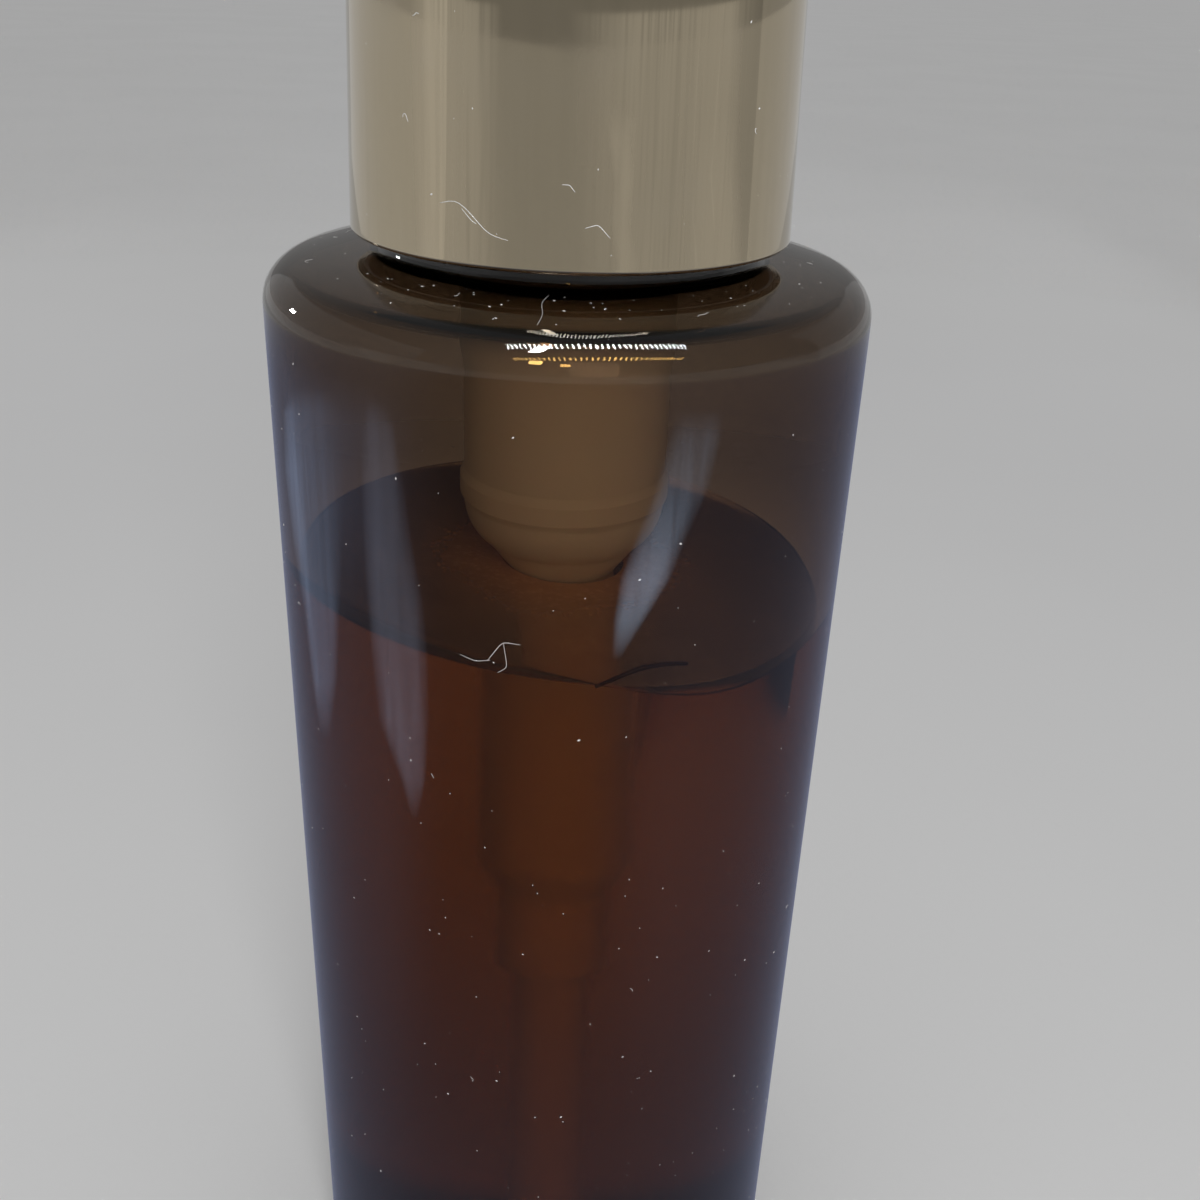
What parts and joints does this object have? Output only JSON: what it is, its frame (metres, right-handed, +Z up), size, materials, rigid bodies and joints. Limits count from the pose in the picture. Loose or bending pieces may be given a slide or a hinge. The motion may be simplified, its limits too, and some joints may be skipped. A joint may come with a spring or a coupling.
{
  "type": "pump oil bottle",
  "caption": "Round clear-amber bottle with a flat shoulder, a foam-making pump hung in its screw neck, a swivelling spout head and a tall champagne-gold overcap.",
  "frame": {"origin": "centre of the ring that the bottle stands on, at the table's surface", "axes": "+Z up along the bottle's axis; +X the way the pump's spout points at rest; +Y away from the viewer"},
  "size_m": [0.055, 0.055, 0.1863],
  "materials": {
    "bottle_plastic": "clear amber-brown moulded plastic, glossy",
    "oil": "brown-orange clear oil",
    "gasket_foam": "white soft sealing ring",
    "natural_plastic": "milky unpigmented plastic",
    "steel": "bright stainless steel",
    "tube_plastic": "milky clear extruded tube",
    "pump_plastic": "ivory moulded plastic, satin",
    "valve_rubber": "white soft elastomer",
    "screen_fabric": "woven fine plastic screen",
    "champagne_metallised": "champagne-gold metallised plastic, satin gloss"
  },
  "bodies": {
    "bottle": {"bottle": "bottle_plastic", "oil": "oil"},
    "pump": {"neck_gasket": "gasket_foam", "pump_housing": "natural_plastic", "ball_cage": "natural_plastic", "return_spring": "steel", "dip_tube": "tube_plastic", "guide_tube": "pump_plastic"},
    "inlet_ball": {"inlet_ball": "steel"},
    "collar": {"collar": "pump_plastic"},
    "overcap": {"overcap": "champagne_metallised"},
    "piston": {"air_piston": "pump_plastic", "air_valve": "valve_rubber"},
    "head": {"liquid_piston": "natural_plastic", "piston_stem": "pump_plastic", "mixing_cap": "pump_plastic", "foam_cartridge": "natural_plastic", "lower_screen": "screen_fabric", "upper_screen": "screen_fabric", "actuator": "pump_plastic"},
    "outlet_ball": {"outlet_ball": "steel"}
  },
  "joints": [
    {"name": "pump_lift", "type": "slide", "parent": "bottle", "child": "pump", "axis": [0, 0, 1], "range_m": [0, 0.14]},
    {"name": "collar_turn", "type": "hinge", "parent": "pump", "child": "collar", "pos_m": [0, 0, 0.138], "axis": [0, 0, 1], "range_deg": [0, 540]},
    {"name": "overcap_lift", "type": "slide", "parent": "collar", "child": "overcap", "axis": [0, 0, 1], "range_m": [0, 0.06]},
    {"name": "head_press", "type": "slide", "parent": "pump", "child": "piston", "axis": [0, 0, -1], "range_m": [0, 0.012], "stiffness_N_per_m": 780, "springref_m": -0.008, "deforming": ["return_spring"]},
    {"name": "head_turn", "type": "hinge", "parent": "piston", "child": "head", "pos_m": [0, 0, 0.158], "axis": [0, 0, 1], "continuous": true},
    {"name": "inlet_ball_lift", "type": "slide", "parent": "pump", "child": "inlet_ball", "axis": [0, 0, 1], "range_m": [0, 0.001]},
    {"name": "outlet_ball_lift", "type": "slide", "parent": "head", "child": "outlet_ball", "axis": [0, 0, 1], "range_m": [0, 0.001]}
  ]
}
